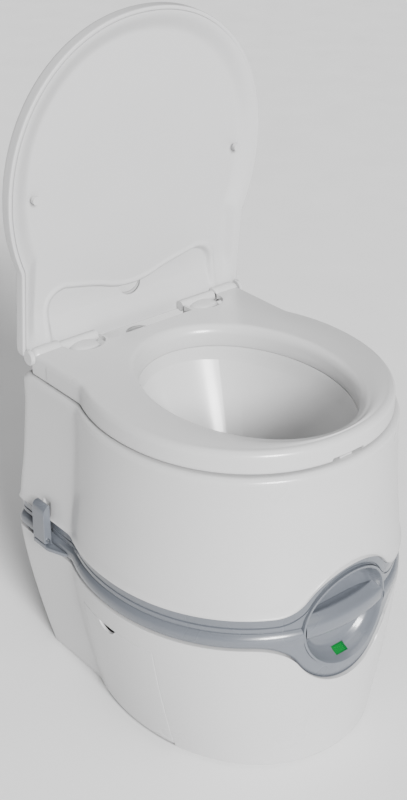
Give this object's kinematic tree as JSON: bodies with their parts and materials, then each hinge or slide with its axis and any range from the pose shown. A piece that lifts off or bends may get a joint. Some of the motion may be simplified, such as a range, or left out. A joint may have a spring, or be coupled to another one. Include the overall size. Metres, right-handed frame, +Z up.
{
  "type": "cassette toilet",
  "caption": "Portable cassette toilet: flush-water tank with bowl, hinged seat and lid, standing on a removable waste tank with a pull-out slide valve, side latches and roll compartment.",
  "frame": {"origin": "centre of the flat underside of the waste tank, on the floor it stands on", "axes": "+Z up, -Y towards the front with the valve handle, +X to the right of a viewer facing the front of the toilet"},
  "size_m": [0.3876, 0.4198, 0.8229],
  "materials": {
    "white_plastic": "satin gloss",
    "grey_plastic": "fine satin",
    "dark_plastic": "satin",
    "seal_rubber": "matte",
    "spring_steel": "bright",
    "green_float": "satin",
    "clear_window": "clear"
  },
  "bodies": {
    "waste_unit": {"waste_tank": "white_plastic", "lower_band": "grey_plastic", "valve_dish": "grey_plastic", "valve_housing": "dark_plastic", "valve_seal": "seal_rubber", "level_window": "clear_window", "float_pin": "spring_steel", "door_pin": "spring_steel", "latch_bracket_right": "grey_plastic", "latch_bracket_left": "grey_plastic", "latch_pin_right": "spring_steel", "latch_pin_left": "spring_steel", "spout_collar": "white_plastic"},
    "valve": {"valve_blade": "dark_plastic", "valve_handle": "grey_plastic"},
    "float": {"level_float": "green_float"},
    "door": {"roll_door": "white_plastic"},
    "latch_r": {"latch_right": "grey_plastic"},
    "latch_l": {"latch_left": "grey_plastic"},
    "spout": {"pour_spout": "grey_plastic"},
    "spout_closure": {"spout_cap": "dark_plastic", "spout_cap_seal": "seal_rubber"},
    "vent": {"vent_button": "dark_plastic", "vent_valve_disc": "seal_rubber", "vent_spring": "spring_steel"},
    "flush_unit": {"flush_tank": "white_plastic", "upper_band": "grey_plastic", "bowl": "white_plastic", "outlet_seal": "seal_rubber", "flush_nozzle": "white_plastic", "fill_cap_seal": "seal_rubber", "pump_barrel": "white_plastic", "hinge_post_right": "white_plastic", "hinge_post_left": "white_plastic", "hinge_pin_right": "white_plastic", "hinge_pin_left": "white_plastic"},
    "filler": {"fill_cap": "white_plastic"},
    "pump": {"pump_plunger": "white_plastic", "pump_knob": "grey_plastic", "pump_spring": "spring_steel"},
    "seat_ring": {"seat": "white_plastic", "seat_pad_right": "seal_rubber", "seat_pad_left": "seal_rubber", "seat_pad_front": "seal_rubber"},
    "lid": {"lid_shell": "white_plastic", "lid_liner": "white_plastic", "lid_bumper_right": "seal_rubber", "lid_bumper_left": "seal_rubber"}
  },
  "joints": [
    {"name": "flush_tank_lift", "type": "slide", "parent": "waste_unit", "child": "flush_unit", "axis": [0, 0, 1], "range_m": [0, 0.2]},
    {"name": "valve_slide", "type": "slide", "parent": "waste_unit", "child": "valve", "axis": [0, -1, 0], "range_m": [0, 0.08]},
    {"name": "float_pivot", "type": "hinge", "parent": "waste_unit", "child": "float", "pos_m": [0, -0.1766, 0.17], "axis": [1, 0, 0], "range_deg": [0, 15]},
    {"name": "roll_door_hinge", "type": "hinge", "parent": "waste_unit", "child": "door", "pos_m": [-0.149, 0, 0.0145], "axis": [0, -1, 0], "range_deg": [0, 30]},
    {"name": "latch_right_hinge", "type": "hinge", "parent": "waste_unit", "child": "latch_r", "pos_m": [0.182, 0.1365, 0.209], "axis": [0, 1, 0], "range_deg": [0, 75]},
    {"name": "latch_left_hinge", "type": "hinge", "parent": "waste_unit", "child": "latch_l", "pos_m": [-0.182, 0.1365, 0.209], "axis": [0, -1, 0], "range_deg": [0, 75]},
    {"name": "spout_swivel", "type": "hinge", "parent": "waste_unit", "child": "spout", "pos_m": [-0.03, 0.174, 0.138], "axis": [0, 0, 1], "range_deg": [0, 90]},
    {"name": "spout_cap_turn", "type": "hinge", "parent": "spout", "child": "spout_closure", "pos_m": [0.06, 0.174, 0.138], "axis": [1, 0, 0], "range_deg": [0, 360]},
    {"name": "vent_press", "type": "slide", "parent": "waste_unit", "child": "vent", "axis": [0, -1, 0], "range_m": [0, 0.005], "stiffness_N_per_m": 400, "springref_m": -0.003, "deforming": ["vent_spring"]},
    {"name": "fill_cap_turn", "type": "hinge", "parent": "flush_unit", "child": "filler", "pos_m": [0, 0.172, 0.408], "axis": [0, 0, 1], "range_deg": [0, 360]},
    {"name": "pump_press", "type": "slide", "parent": "flush_unit", "child": "pump", "axis": [-1, 0, 0], "range_m": [0, 0.02], "stiffness_N_per_m": 400, "springref_m": -0.005, "deforming": ["pump_spring"]},
    {"name": "seat_hinge", "type": "hinge", "parent": "flush_unit", "child": "seat_ring", "pos_m": [0, 0.175, 0.431], "axis": [-1, 0, 0], "range_deg": [0, 81]},
    {"name": "lid_hinge", "type": "hinge", "parent": "flush_unit", "child": "lid", "pos_m": [0, 0.175, 0.431], "axis": [-1, 0, 0], "range_deg": [-84.5, 0]}
  ]
}
